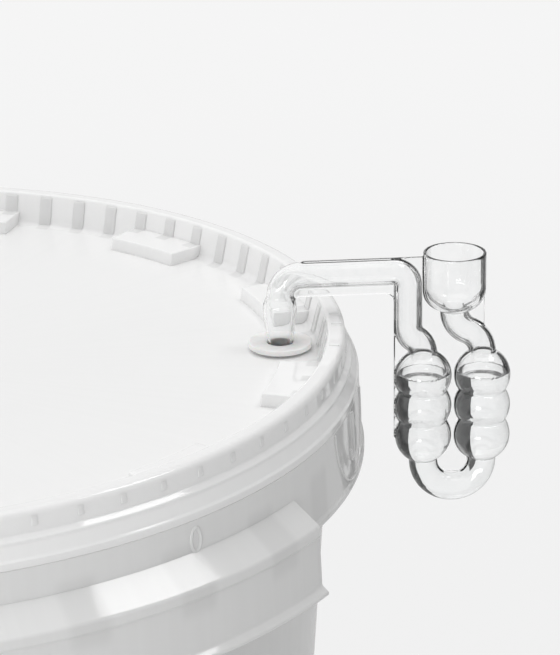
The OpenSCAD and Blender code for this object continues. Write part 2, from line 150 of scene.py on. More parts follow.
def milky_plastic(name, light, dull, gloss, painted_shade_bands):
    """Natural polypropylene: cloudy, satin, with flow streaks, fine scuffs, and painted shade: darker bands standing
    in for the shade of ribs or gussets behind the wall.

    The painted shade bands are their strength, number, phase, edge, heights and radii, in metres."""
    strength, number, phase, edge, (foot, top), (inner, outer) = painted_shade_bands
    f = Finish(name)
    cloud = f.noise(9, 3, 0.55)
    own = [f.node("SeparateXYZ", Vector=f.place(), out=axis) for axis in "XYZ"]
    turn, height = own[1].around(own[0]), own[2]
    away = (own[0] * own[0] + own[1] * own[1]).root()
    streak = f.noise(3, 2, 0.5, at=f.node("CombineXYZ", X=turn * 14, Y=0.0, Z=0.0))
    # painted shade: upright darker bands in one ring of heights and radii, for ribs or gussets shading the wall
    painted_shade_band = (turn * number + phase).cosine().ramp(*edge) * height.ramp(foot - 0.006, foot)
    painted_shade_band = painted_shade_band * height.ramp(top + 0.006, top) * away.ramp(inner - 0.001, inner) * away.ramp(outer + 0.001, outer)
    plain = f.blend(dull, light, (cloud * 0.6 + streak * 0.4).ramp(0.3, 0.68))
    # the painted shade is a darker copy of the dull tone, mixed in by the bands' strength
    colour = f.blend(plain, tuple(0.85 * v for v in dull), painted_shade_band * strength)
    grain = f.noise(1400, 2, 0.6)
    wave = f.noise(26, 1, 0.5)
    scuff = f.noise(120, 3, 0.7, at=f.place((1, 0.06, 1), (0, 0, 0.7)))
    rough = cloud * 0.08 + scuff.ramp(0.6, 0.74, 0, 0.1) + gloss
    normal = f.bump(grain, 0.00001, 0.4, f.bump(wave, 0.0003, 0.25))
    return f.surface(f.principled(colour, rough, normal, IOR=1.5, Subsurface_Weight=0.2, Subsurface_Scale=0.0015,
                                  Subsurface_Radius=(1.0, 1.0, 1.0)))


def white_rubber(name):
    """Silicone rubber: soft sheen, fine pitting and a little dust."""
    f = Finish(name)
    dust = f.noise(160, 4, 0.6)
    colour = f.blend((0.85, 0.85, 0.84), (0.93, 0.93, 0.92), dust.ramp(0.3, 0.62))
    rough = 0.46 + dust * 0.16
    normal = f.bump(f.noise(1800, 2), 0.00004, 0.6)
    return f.surface(f.principled(colour, rough, normal, Subsurface_Weight=0.15, Subsurface_Scale=0.002))


def clear_plastic(name):
    """Clear moulded plastic with slight waves in its walls, and painted shade: dark colour where the surface turns
    away from the view.
    """
    f = Finish(name)
    wave = f.noise(90, 2, 0.5)
    haze = f.noise(320, 3, 0.6)
    body = f.blend((0.975, 0.98, 0.98), (0.995, 0.996, 0.996), haze.ramp(0.35, 0.65))
    # painted shade: the colour goes dark near the outline, standing in for dark refracted edges
    facing_for_painted_edge_shade = f.node("LayerWeight", out="Facing", Blend=0.5)
    colour = f.blend(body, (0.27, 0.28, 0.28), facing_for_painted_edge_shade.ramp(0.75, 0.97))
    normal = f.bump(wave, 0.00015, 0.25)
    return f.surface(f.principled(colour, haze.ramp(0.5, 0.8, 0.0, 0.06), normal, IOR=1.5,
                                  Transmission_Weight=1.0))


def clear_water(name):
    f = Finish(name)
    ripple = f.noise(60, 1, 0.5)
    colour = f.blend((0.985, 0.99, 0.99), (0.998, 0.999, 0.999), ripple)
    return f.surface(f.principled(colour, 0.0, f.bump(ripple, 0.0001, 0.1), IOR=1.33, Transmission_Weight=1.0))


def galvanised_wire(name):
    """Drawn and galvanised steel: fine lines along the wire and duller blotches."""
    f = Finish(name)
    blotch = f.noise(210, 4, 0.65)
    lines = f.noise(2600, 1, 0.5)
    colour = f.blend((0.42, 0.43, 0.44), (0.74, 0.75, 0.76), blotch.ramp(0.3, 0.7))
    normal = f.bump(lines, 0.00003, 0.5)
    return f.surface(f.principled(colour, 0.28 + blotch * 0.22, normal, Metallic=1.0))


# ---- Meshes ----

def merged_copy(node, angle=28):
    """A CAD node's mesh with its loose triangles joined and smooth faces shaded smooth."""
    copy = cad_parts[node].data.copy()
    made = bpy.data.objects.new(node + "_skin", copy)
    bpy.context.scene.collection.objects.link(made)
    weld = made.modifiers.new("weld", "WELD")
    weld.merge_threshold = 1e-6
    mesh = bpy.data.meshes.new_from_object(made.evaluated_get(bpy.context.evaluated_depsgraph_get()))
    made.modifiers.clear()
    made.data = mesh
    mesh.materials.clear()
    mesh.polygons.foreach_set("use_smooth", np.ones(len(mesh.polygons), bool))
    mesh.set_sharp_from_angle(angle=radians(angle))
    return made


# ---- Turned, swept and repeated pieces, in millimetres until they are made objects ----

def softened(corners, steps=5):
    """An outline of (radius, height, rounding) with its corners made arcs. The ends stay as they are."""
    points = [corners[0][:2]]
    for before, (x, y, rounding), after in zip(corners, corners[1:], corners[2:]):
        here = np.array((x, y))
        one, two = np.array(before[:2]) - here, np.array(after[:2]) - here
        long_one, long_two = np.hypot(*one), np.hypot(*two)
        one, two = one / long_one, two / long_two
        half = np.arccos(np.clip(one @ two, -1, 1)) / 2
        cut = min(rounding / np.tan(half), 0.46 * long_one, 0.46 * long_two)
        if cut < 0.02:
            points.append((x, y))
            continue
        centre = here + (one + two) / np.hypot(*(one + two)) * cut / np.cos(half)
        a, b = here + one * cut - centre, here + two * cut - centre
        turn = pi - 2 * half
        if cut + 0.2 < 0.48 * long_one:
            points.append(tuple(here + one * (cut + 0.2)))
        for t in np.linspace(0, 1, steps + 1):
            points.append(tuple(centre + (a * np.sin((1 - t) * turn) + b * np.sin(t * turn)) / np.sin(turn)))
        if cut + 0.2 < 0.48 * long_two:
            points.append(tuple(here + two * (cut + 0.2)))
    return points + [corners[-1][:2]]


def turned(corners, middle=0.0, angle=360.0, around=360, closed=False):
    """A profile turned about the upright axis: all round from axis to axis, or a closed one over an angle."""
    loop = softened(corners + corners[:2])[1:-1] if closed else softened(corners)
    whole = angle == 360
    count = around if whole else max(2, int(around * angle / 360))
    turns = [radians(middle - angle / 2 + angle * i / count) for i in range(count if whole else count + 1)]
    made = bmesh.new()
    rings = []
    for r, z in loop:
        if r < 1e-6:
            rings.append([made.verts.new((0, 0, z * MM))] * len(turns))
        else:
            rings.append([made.verts.new((r * cos(a) * MM, r * sin(a) * MM, z * MM)) for a in turns])
    for one, two in zip(rings, rings[1:] + (rings[:1] if closed else [])):
        for i in range(count):
            j = (i + 1) % len(turns)
            corner = [one[i], one[j], two[j], two[i]]
            made.faces.new([v for n, v in enumerate(corner) if v not in corner[:n]])
    if not whole:
        made.faces.new([ring[0] for ring in rings])
        made.faces.new([ring[-1] for ring in reversed(rings)])
    return made


def block(outline, low, high, soft=0.0, place=None):
    """An upright outline of (x, y) between two heights, with softened edges, moved by a matrix."""
    made = bmesh.new()
    floor = [made.verts.new((x * MM, y * MM, low * MM)) for x, y in outline]
    roof = [made.verts.new((x * MM, y * MM, high * MM)) for x, y in outline]
    made.faces.new(reversed(floor))
    made.faces.new(roof)
    for i in range(len(outline)):
        j = (i + 1) % len(outline)
        made.faces.new((floor[i], floor[j], roof[j], roof[i]))
    if soft:
        soften_edges(made, soft)
    if place:
        bmesh.ops.transform(made, matrix=place, verts=made.verts)
    return made


def soften_edges(made, soft, sharp=35):
    bmesh.ops.recalc_face_normals(made, faces=made.faces)
    edges = [e for e in made.edges if len(e.link_faces) == 2 and e.calc_face_angle() > radians(sharp)]
    bmesh.ops.bevel(made, geom=edges, offset=soft * MM, offset_type="OFFSET", segments=3, profile=0.5, affect="EDGES",
                    clamp_overlap=True)


def plate(direction, thick, outline, soft=0.4):
    """An upright plate of (radius, height) points in a direction from the axis."""
    place = Matrix.Rotation(radians(direction), 4, "Z") @ Matrix.Rotation(pi / 2, 4, "X")
    return block(outline, -thick / 2, thick / 2, soft, place)


def object_of(name, *parts):
    """One object of several pieces of mesh, with its normals outward."""
    mesh = bpy.data.meshes.new(name)
    whole = bmesh.new()
    for part in parts:
        bmesh.ops.recalc_face_normals(part, faces=part.faces)
        part.to_mesh(mesh)
        whole.from_mesh(mesh)
        part.free()
    whole.to_mesh(mesh)
    whole.free()
    made = bpy.data.objects.new(name, mesh)
    bpy.context.scene.collection.objects.link(made)
    return made


def ring_nodes():
    """Geometry nodes that join copies of a piece, turned about the upright axis, to a shell."""
    group = bpy.data.node_groups.new("ring_of_pieces", "GeometryNodeTree")
    for name, kind in (("Shell", "Geometry"), ("Piece", "Object"), ("Number", "Int"), ("First direction", "Float"),
                       ("Finish", "Material")):
        group.interface.new_socket(name=name, in_out="INPUT", socket_type="NodeSocket" + kind)
    group.interface.new_socket(name="Result", in_out="OUTPUT", socket_type="NodeSocketGeometry")

    def node(kind, **links):
        made = group.nodes.new(kind)
        for name, term in links.items():
            join(group, made.inputs[name.replace("_", " ")], term)
        return made

    given, result = node("NodeGroupInput"), node("NodeGroupOutput")
    number, first = Value(group, given.outputs["Number"]), Value(group, given.outputs["First direction"])
    turn = first + Value(group, node("GeometryNodeInputIndex").outputs[0]) * (2 * pi) / number
    piece = node("GeometryNodeObjectInfo", Object=Value(group, given.outputs["Piece"]))
    points = node("GeometryNodePoints", Count=number)
    spin = node("ShaderNodeCombineXYZ", Z=turn)
    copies = node("GeometryNodeInstanceOnPoints", Points=Value(group, points.outputs[0]),
                  Instance=Value(group, piece.outputs["Geometry"]), Rotation=Value(group, spin.outputs[0]))
    solid = node("GeometryNodeRealizeInstances", Geometry=Value(group, copies.outputs[0]))
    both = node("GeometryNodeJoinGeometry")
    group.links.new(solid.outputs[0], both.inputs[0])
    group.links.new(given.outputs["Shell"], both.inputs[0])
    coat = node("GeometryNodeSetMaterial", Geometry=Value(group, both.outputs[0]),
                Material=Value(group, given.outputs["Finish"]))
    group.links.new(coat.outputs[0], result.inputs[0])
    return group


def with_rings(shell, finish, rings, cutters=(), more=(), sharp=38):
    """Joins rings of pieces to a shell, cuts round holes through it and bakes it all into the shell's mesh."""
    group = ring_nodes()
    slots = {item.name: item.identifier for item in group.interface.items_tree if item.in_out == "INPUT"}
    for cutter in cutters:
        cut = shell.modifiers.new("hole", "BOOLEAN")
        cut.operation, cut.solver, cut.object = "DIFFERENCE", "EXACT", cutter
    rings = list(rings) + [(piece, 1, 0) for piece in more]
    for piece, number, first in rings:
        ring = shell.modifiers.new("ring", "NODES")
        ring.node_group = group
        for name, value in (("Piece", piece), ("Number", number), ("First direction", radians(first)), ("Finish", finish)):
            ring[slots[name]] = value
    view = bpy.context.evaluated_depsgraph_get()
    view.update()
    mesh = bpy.data.meshes.new_from_object(shell.evaluated_get(view))
    shell.modifiers.clear()
    shell.data = mesh
    for piece in [piece for piece, _, _ in rings] + list(cutters):
        bpy.data.objects.remove(piece)
    mesh.polygons.foreach_set("use_smooth", np.ones(len(mesh.polygons), bool))
    mesh.set_sharp_from_angle(angle=radians(sharp))
    return shell


def mesh_object(name, points, faces):
    mesh = bpy.data.meshes.new(name)
    mesh.from_pydata(points.tolist(), [], faces.tolist())
    mesh.polygons.foreach_set("use_smooth", np.ones(len(mesh.polygons), bool))
    mesh.update()
    made = bpy.data.objects.new(name, mesh)
    bpy.context.scene.collection.objects.link(made)
    return made


def skin(field, low, high, step, rounds=3):
    """Closed quads where a distance field is zero: one point in each grid cell that the surface crosses."""
    axes = [np.arange(a, b + step, step) for a, b in zip(low, high)]
    x, y, z = np.meshgrid(*axes, indexing="ij", sparse=True)
    depth = np.ascontiguousarray(np.broadcast_to(field(x, y, z), [len(a) for a in axes]))
    inside = depth < 0
    cells = [n - 1 for n in depth.shape]
    corner = [(i, j, k) for i in (0, 1) for j in (0, 1) for k in (0, 1)]
    count = sum(inside[i:i + cells[0], j:j + cells[1], k:k + cells[2]].astype(np.int8) for i, j, k in corner)
    at = np.argwhere((count > 0) & (count < 8))
    number = np.full(cells, -1)
    number[tuple(at.T)] = np.arange(len(at))
    total, hits = np.zeros((len(at), 3)), np.zeros(len(at))
    for a in corner:
        for axis in range(3):
            if a[axis]:
                continue
            b = tuple(1 if n == axis else v for n, v in enumerate(a))
            da, db = depth[tuple((at + a).T)], depth[tuple((at + b).T)]
            cross = (da < 0) != (db < 0)
            share = np.where(cross, da / np.where(cross, da - db, 1), 0)
            total += cross[:, None] * (np.array(a) + share[:, None] * (np.array(b) - np.array(a)))
            hits += cross
    points = np.array([a[0] for a in axes]) + (at + total / hits[:, None]) * step
    faces = []
    for axis in range(3):
        b, c = (axis + 1) % 3, (axis + 2) % 3
        first = np.swapaxes(inside, 0, axis)
        edge = np.argwhere(np.swapaxes(first[:-1] != first[1:], 0, axis))
        edge = edge[(edge[:, b] > 0) & (edge[:, c] > 0)]
        out = inside[tuple(edge.T)]
        ring = []
        for db, dc in ((1, 1), (0, 1), (0, 0), (1, 0)):
            cell = edge.copy()
            cell[:, b] -= db
            cell[:, c] -= dc
            ring.append(number[tuple(cell.T)])
        ring = np.stack(ring, 1)
        faces.append(np.where(out[:, None], ring, ring[:, ::-1]))
    for _ in range(rounds):
        here = field(*points.T)
        slope = np.stack([(field(*(points + e).T) - here) / 0.02 for e in np.eye(3) * 0.02], 1)
        length = np.maximum((slope ** 2).sum(1), 0.3)
        points -= np.clip((here / length)[:, None] * slope, -0.3 * step, 0.3 * step)
    return points, np.vstack(faces)


# ---- Airlock: sizes in millimetres, x along the arm from the leg, z up from the lid's panel ----

LEG_AT, PANEL_Z, LOCK_TURN = (165.3, 12.7), 366.5, 4.5
WALL, TUBE_R, ARM_Z, LEG_TIP = 1.1, 5.0, 28.5, -10.8
ELBOW_R, KNEE_R = 8.3, 6.0
DOWN_X, COLUMN_X, COLUMN_GAP, CUP_X = 49.3, 55.1, 23.3, 67.2
BULB_R, BULB_Z, BULB_PITCH, BULBS = 10.7, -14.5, 12.4, 3
CUP_R, CUP_RIM, CUP_FOOT, CUP_ROUND = 12.0, 35.5, 11.9, 9.2
NECK_Z = BULB_Z + sqrt(BULB_R ** 2 - TUBE_R ** 2)
BEND_R = TUBE_R + 0.3
BEND_Z = BULB_Z - (BULBS - 1) * BULB_PITCH - sqrt(BULB_R ** 2 - BEND_R ** 2) - 0.9
WEB_T = 1.4
WATER_Z = BULB_Z + 0.8


def union(a, b, soft):
    """The nearer of two distances, with a fillet where they meet."""
    mix = np.clip(0.5 + 0.5 * (b - a) / soft, 0, 1)
    return b + (a - b) * mix - soft * mix * (1 - mix)


def from_run(x, y, z, start, end):
    """Distance from a straight run of the tube's centreline."""
    dx, dz = end[0] - start[0], end[1] - start[1]
    share = np.clip(((x - start[0]) * dx + (z - start[1]) * dz) / (dx * dx + dz * dz), 0, 1)
    return np.sqrt((x - start[0] - share * dx) ** 2 + y ** 2 + (z - start[1] - share * dz) ** 2)


def from_bend(x, y, z, centre, radius, start, sweep):
    """Distance from a bend of the tube's centreline, from an angle over a sweep in degrees."""
    middle, half = radians(start + sweep / 2), radians(sweep / 2)
    u, v = x - centre[0], z - centre[1]
    p, q = u * cos(middle) + v * sin(middle), abs(v * cos(middle) - u * sin(middle))
    along = np.hypot(np.hypot(u, v) - radius, y)
    end = np.sqrt((p - radius * cos(half)) ** 2 + (q - radius * sin(half)) ** 2 + y ** 2)
    return np.where(q * cos(half) <= p * sin(half), along, end)


def from_s(x, y, z, top, foot):
    """Distance from an S of two equal bends."""
    turn = 2 * np.degrees(np.arctan2(foot[0] - top[0], top[1] - foot[1]))
    radius = (top[1] - foot[1]) / 2 / sin(radians(turn))
    return np.minimum(from_bend(x, y, z, (top[0] + radius, top[1]), radius, 180, turn),
                      from_bend(x, y, z, (foot[0] - radius, foot[1]), radius, 0, turn))


def from_columns(x, y, z, shrink, soft):
    """The two columns of bulbs and the bend under them."""
    inner = 1e3
    for column in (COLUMN_X, COLUMN_X + COLUMN_GAP):
        for i in range(BULBS):
            ball = np.sqrt((x - column) ** 2 + y ** 2 + (z - BULB_Z + i * BULB_PITCH) ** 2) - BULB_R + shrink
            inner = union(inner, ball, soft)
        run = from_run(x, y, z, (column, BEND_Z), (column, BEND_Z + 6)) - BEND_R + shrink
        inner = union(inner, run, soft)
    bend = from_bend(x, y, z, (COLUMN_X + COLUMN_GAP / 2, BEND_Z), COLUMN_GAP / 2, 180, 180)
    return union(inner, bend - BEND_R + shrink, 0.1)


def leg_radius(z):
    """Outside radius of the leg: swelled under the elbow, straight in the grommet."""
    return np.interp(z, (2.2, 3.2, 6, 10, 13, 15.2, 17.2, 19, 20.4), (4.9, 5.02, 5.4, 5.98, 6.36, 6.5, 6.3, 5.6, 5.0))


def from_airway(x, y, z, shrink):
    """The whole airway, shrunk inwards by the wall for the bore."""
    r = TUBE_R - shrink
    path = from_bend(x, y, z, (ELBOW_R, ARM_Z - ELBOW_R), ELBOW_R, 90, 90)
    path = np.minimum(path, from_run(x, y, z, (ELBOW_R, ARM_Z), (DOWN_X - KNEE_R, ARM_Z)))
    path = np.minimum(path, from_bend(x, y, z, (DOWN_X - KNEE_R, ARM_Z - KNEE_R), KNEE_R, 0, 90))
    path = np.minimum(path, from_run(x, y, z, (DOWN_X, ARM_Z - KNEE_R), (DOWN_X, NECK_Z + 11.5)))
    path = np.minimum(path, from_s(x, y, z, (DOWN_X, NECK_Z + 11.5), (COLUMN_X, NECK_Z)))
    path = np.minimum(path, from_s(x, y, z, (CUP_X, CUP_FOOT), (COLUMN_X + COLUMN_GAP, NECK_Z)))
    for column in (COLUMN_X, COLUMN_X + COLUMN_GAP):
        path = np.minimum(path, from_run(x, y, z, (column, NECK_Z), (column, NECK_Z - 2)))
    path = np.minimum(path, from_run(x, y, z, (CUP_X, CUP_FOOT + 4), (CUP_X, CUP_FOOT)))
    field = union(path - r, from_columns(x, y, z, shrink, 0.5), 0.6)
    # leg
    away = np.hypot(x, y) - leg_radius(z) + shrink
    leg = np.maximum(away * 0.96, z - (ARM_Z - ELBOW_R))
    field = union(field, leg, 0.3)
    # cup
    out, down = np.hypot(x - CUP_X, y) - CUP_R + shrink + CUP_ROUND, CUP_FOOT + shrink * 0.9 + CUP_ROUND - z
    cup = np.hypot(np.maximum(out, 0), np.maximum(down, 0)) + np.minimum(np.maximum(out, down), 0) - CUP_ROUND
    return union(field, cup, 0.5)


def web_outline():
    left, top, under = DOWN_X - TUBE_R - 0.5, ARM_Z + TUBE_R + 0.5, ARM_Z - TUBE_R - 3.7
    last = BULB_Z - (BULBS - 1) * BULB_PITCH
    right, far = CUP_X + CUP_R - 0.4, COLUMN_X + COLUMN_GAP
    turn = [radians(a) for a in range(0, 91, 15)]
    corner = [(left - 3.5 + 3.5 * cos(a), under - 3.5 + 3.5 * sin(a)) for a in turn]
    corner += [(TUBE_R + 3.5 - 3.5 * sin(a), under - 3.5 + 3.5 * cos(a)) for a in turn]
    return np.array([(ELBOW_R - 2, top - 2), (ELBOW_R + 1, top), (CUP_X, top), (CUP_X, 20), (right, 20),
                     (right, BULB_Z), (far, BULB_Z), (far, BEND_Z), (far - 2, BEND_Z - 5), (COLUMN_X + 2, BEND_Z - 5),
                     (COLUMN_X, BEND_Z), (COLUMN_X, last), (left, last)] + corner)


def from_web(x, y, z):
    """Distance from the flat web."""
    outline = web_outline()
    flat, odd = np.full(np.broadcast(x, z).shape, 1e3), False
    for a, b in zip(outline, np.roll(outline, -1, 0)):
        flat = np.minimum(flat, from_run(x, 0, z, a, b))
        if a[1] != b[1]:
            level = (z < a[1]) != (z < b[1])
            odd = odd ^ (level & (x < a[0] + (z - a[1]) * (b[0] - a[0]) / (b[1] - a[1])))
    flat = np.where(odd, -flat, flat)
    sheet = abs(y) - WEB_T / 2
    flat, sheet = flat + 0.3, sheet + 0.3
    return np.hypot(np.maximum(flat, 0), np.maximum(sheet, 0)) + np.minimum(np.maximum(flat, sheet), 0) - 0.3


def airlock_field(x, y, z):
    body = union(from_airway(x, y, z, 0), from_web(x, y, z), 0.7)
    body = np.maximum(body, z - CUP_RIM)
    body = np.where(x < 20, np.maximum(body, LEG_TIP - z), body)
    bore = from_airway(x, y, z, WALL)
    return -union(-body, bore, 0.25)


def water_field(x, y, z):
    """Water in the lower bulbs and the bend, lapping a little into the wall, with a raised edge."""
    wet = from_columns(x, y, z, WALL - 0.12, 0.5)
    edge = np.exp(np.minimum(from_columns(x, y, z, WALL, 0.5), 0) / 0.9)
    return np.maximum(wet, z - WATER_Z - 0.9 * edge)


def in_bucket_frame(points):
    """From the airlock's own millimetres to the bucket's metres."""
    x, y, z = points.T
    a = radians(LOCK_TURN)
    return np.stack([LEG_AT[0] + x * cos(a) - y * sin(a), LEG_AT[1] + x * sin(a) + y * cos(a), z + PANEL_Z], 1) * MM


def make_airlock():
    points, faces = skin(airlock_field, (-8, -13, -68), (91.6, 13, 36.5), 0.55)
    lock = mesh_object("airlock_moulding", in_bucket_frame(points), faces)
    points, faces = skin(water_field, (43, -11.5, -67), (91, 11.5, -11), 0.5)
    water = mesh_object("water_seal", in_bucket_frame(points), faces)
    return lock, water


# ---- Lid and bucket, in millimetres ----

LID_TOP, SKIRT_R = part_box("lid")[1][2] / MM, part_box("lid")[1][0] / MM
RIM_R, PANEL_TOP, WALL_TOP_R, WALL_FOOT_R = SKIRT_R - 5.0, LID_TOP - 13.3, SKIRT_R - 11.5, SKIRT_R - 14.8
LID_RIBS, BLOCKS, BLOCK_ANGLE, BLOCK_DIRECTION = 72, 12, 12.0, 19.0
BLOCK_R, BLOCK_TOP = SKIRT_R - 30.3, LID_TOP - 8.1
COLLAR_TOP, COLLAR_R, COLLAR_FOOT, COLLAR_DIRECTION = LID_TOP - 18.1, 195.0, 332.1, -2.0
APRON_ANGLE, GUSSETS, PIVOT_Z = 124.0, 16, 331.6


def circle(radius, x=0.0, y=0.0, count=64):
    return [(x + radius * cos(2 * pi * i / count), y + radius * sin(2 * pi * i / count)) for i in range(count)]


def make_lid(finish):
    top, foot = LID_TOP, COLLAR_TOP + 0.03
    shell = object_of("lid_shell", turned([
        (0, PANEL_TOP, 0), (WALL_FOOT_R, PANEL_TOP, 3.0), (WALL_TOP_R, top, 1.3), (RIM_R, top, 2.4),
        (RIM_R + 0.2, top - 8.0, 0.8), (RIM_R + 2.3, top - 9.6, 1.1), (RIM_R + 2.3, top - 10.6, 1.5),
        (SKIRT_R - 0.8, top - 14.7, 1.2), (SKIRT_R, top - 15.4, 0.8), (SKIRT_R, foot, 0.25),
        (SKIRT_R - 5.4, foot, 0.3), (SKIRT_R - 5.4, foot + 1, 0.2), (SKIRT_R - 2.7, foot + 1.6, 0.5),
        (RIM_R + 0.6, top - 9.2, 0.5), (RIM_R - 1.7, top - 7.0, 0.5), (RIM_R - 1.7, top - 1.7, 0.5),
        (RIM_R - 4.3, top - 1.7, 0.5), (RIM_R - 4.5, PANEL_TOP - 0.6, 0.6), (RIM_R - 6, PANEL_TOP - 2, 1),
        (0, PANEL_TOP - 2, 0)]))
    wall_rib = object_of("wall_rib", plate(0, 5.4, [
        (WALL_FOOT_R - 0.7, PANEL_TOP - 0.4), (WALL_TOP_R - 0.8, top - 1.5), (WALL_TOP_R + 0.6, top - 0.9),
        (WALL_FOOT_R + 1, PANEL_TOP - 0.4)]))
    skirt_rib = object_of("skirt_rib", plate(0, 2.2, [
        (RIM_R - 0.4, top - 6.2), (RIM_R + 0.45, top - 5.8), (RIM_R + 0.1, top - 2.6), (RIM_R - 0.4, top - 2)], 0.15))
    pad = turned([(BLOCK_R, PANEL_TOP - 0.3, 0), (BLOCK_R + 0.9, BLOCK_TOP, 0), (WALL_TOP_R, BLOCK_TOP, 0),
                  (WALL_TOP_R, PANEL_TOP - 0.3, 0)], 0, BLOCK_ANGLE, closed=True)
    soften_edges(pad, 0.5)
    ticks = [bead([(r * cos(radians(a)) * MM, r * sin(radians(a)) * MM, top * MM) for r in (184.6, 188.6)], 0.32)
             for a in (4.5, 3.9, 0.9, 0.4, -6.5)]
    hole = object_of("hole", block(circle(8.46, *LEG_AT), PANEL_TOP - 6, PANEL_TOP + 4))
    rings = [(wall_rib, LID_RIBS, BLOCK_DIRECTION + 0.1), (skirt_rib, LID_RIBS, BLOCK_DIRECTION + 2.5),
             (object_of("stacking_block", pad), BLOCKS, BLOCK_DIRECTION)]
    return with_rings(shell, finish, rings, [hole], [object_of("rim_ticks", *ticks)])


def on_collar(across, z, out=0.0):
    """A point on the collar's plain wall: millimetres sideways from its middle, and height."""
    a = radians(COLLAR_DIRECTION) + across / COLLAR_R
    r = COLLAR_R + 1.2 * (COLLAR_TOP - z) / 25.3 + out
    return r * cos(a) * MM, r * sin(a) * MM, z * MM


def bead(points, radius, closed=False):
    """A round line along points, as mesh."""
    curve = bpy.data.curves.new("bead", "CURVE")
    curve.dimensions, curve.bevel_depth, curve.bevel_resolution, curve.use_fill_caps = "3D", radius * MM, 2, True
    line = curve.splines.new("POLY")
    line.points.add(len(points) - 1)
    for place, point in zip(line.points, points):
        place.co = (*point, 1)
    line.use_cyclic_u = closed
    thing = bpy.data.objects.new("bead", curve)
    bpy.context.scene.collection.objects.link(thing)
    mesh = bpy.data.meshes.new_from_object(thing.evaluated_get(bpy.context.evaluated_depsgraph_get()))
    bpy.data.objects.remove(thing)
    made = bmesh.new()
    made.from_mesh(mesh)
    return made


def make_bucket(finish):
    shelf, r, far = COLLAR_TOP, COLLAR_R, COLLAR_R + 11.0
    body = turned([
        (0, 0, 0), (161, 0, 7), (181.5, 310, 5), (184.5, 318, 5), (188, 358.6, 1), (188, 364.4, 0.3), (189.3, 365.4, 0.3),
        (189.3, 367, 0.3), (188, 368, 0.3), (188, 376, 0.8), (186, 376, 0.6), (186, 358.6, 1), (182.5, 318, 5),
        (179.5, 310, 5), (159, 2.6, 7), (0, 2.6, 0)])
    collar = turned([
        (187, shelf, 0), (r, shelf, 0.25), (r + 1.2, COLLAR_FOOT + 3.2, 0.8), (r + 2, COLLAR_FOOT + 2.4, 0.5),
        (r + 2, COLLAR_FOOT, 0.7), (r - 0.6, COLLAR_FOOT, 0.4), (r - 1.8, shelf - 2, 0.5), (187, shelf - 2, 0)], closed=True)
    parts = [body, collar]
    for side in (0, 180):
        ear = COLLAR_DIRECTION + 90 + side
        parts.append(turned([
            (r - 0.4, 350.4, 0), (far, 342, 1.8), (far + 0.5, 338.8, 0.7), (far, 337.8, 0.7), (far + 0.8, 319.6, 1.6),
            (far + 3.4, 317.6, 0.9), (far + 3.4, 316.2, 0.5), (far + 1.6, 316.2, 0.4), (far - 1, 319, 0.6),
            (far - 1.8, 340.2, 1), (r - 0.4, 347.9, 0)], ear, APRON_ANGLE, closed=True))
        for end in (-1, 1):
            parts.append(plate(ear + end * (APRON_ANGLE / 2 - 0.5), 1.6, [
                (r - 0.4, 349.9), (far - 0.5, 341.9), (far - 0.2, 338), (far + 0.5, 320.8), (far - 1.6, 319.4),
                (r + 0.6, 333)]))
        place = Matrix.Rotation(radians(ear), 4, "Z") @ Matrix.Translation((0, 0, PIVOT_Z * MM)) @ Matrix.Rotation(pi / 2, 4, "Y")
        parts.append(block(circle(8), far - 1, far + 4, 0.8, place))
    # the half-round line under the lid's edge, with a hooked rib down its middle
    middle, top, wide = -9.5 * r * pi / 180, shelf - 1, 25.3
    arch = [radians(a) for a in range(0, 181, 6)]
    parts.append(bead([on_collar(middle + wide * cos(a), top - wide * sin(a), 0.05) for a in arch], 0.55))
    hook = [(0, 0.5), (0, 14.5), (-0.6, 16.6), (-2.2, 17.8), (-4, 17.6), (-5.4, 16.4), (-6, 13)]
    parts.append(bead([on_collar(middle + u, top - d, 0) for u, d in hook], 0.8))
    # a small moulded loop high on the collar
    across, oval = -43.8 * r * pi / 180, [radians(a) for a in range(0, 360, 20)]
    parts.append(bead([on_collar(across + 2.2 * sin(a), 353.8 + 4.3 * cos(a), -0.55) for a in oval], 1.0, True))
    gusset = object_of("gusset", plate(0, 1.6, [(187, shelf - 1), (r - 1, shelf - 1), (r + 0.2, 336.1), (185.3, 330.1)], 0.2))
    return with_rings(object_of("bucket_shell", *parts), finish, [(gusset, GUSSETS, COLLAR_DIRECTION)])


def make_grommet():
    """The rubber grommet: a thick round-edged flange, and the stem that holds the airlock's leg."""
    high = PANEL_Z + 2.25
    ring = turned([(4.96, high - 11, 0.3), (4.96, high - 0.2, 0.4), (12.2, high, 0.45), (12.2, high - 2.0, 0.4),
                   (8.6, high - 2.2, 0.5), (8.4, high - 9.5, 0.5), (7.2, high - 11.2, 0.5)], around=96, closed=True)
    bmesh.ops.translate(ring, vec=(LEG_AT[0] * MM, LEG_AT[1] * MM, 0), verts=ring.verts)
    made = object_of("grommet_ring", ring)
    return with_rings(made, None, [])


def make_grip():
    """The grip: a tube with turned rings, along the handle's wire where it hangs."""
    spots = [-52 + i * 12.5 for i in range(9)]
    outline = [(2.35, -52, 0.3)]
    for i, spot in enumerate(spots):
        outline += [(11, spot, 0.8), (11, spot + 4, 0.8)]
        if i < len(spots) - 1:
            outline += [(9.5, spot + 4, 0.5), (9.5, spot + 12.5, 0.5)]
    made = turned(outline + [(2.35, 52, 0.3)], around=64, closed=True)
    low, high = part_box("handle_grip")
    middle = Matrix.Translation([(a + b) / 2 for a, b in zip(low, high)])
    along = Matrix.Rotation(radians(COLLAR_DIRECTION + 90), 4, "Z") @ Matrix.Rotation(pi / 2, 4, "Y")
    bmesh.ops.transform(made, matrix=middle @ along, verts=made.verts)
    return with_rings(object_of("grip_tube", made), None, [])


# ---- Put the pieces together ----

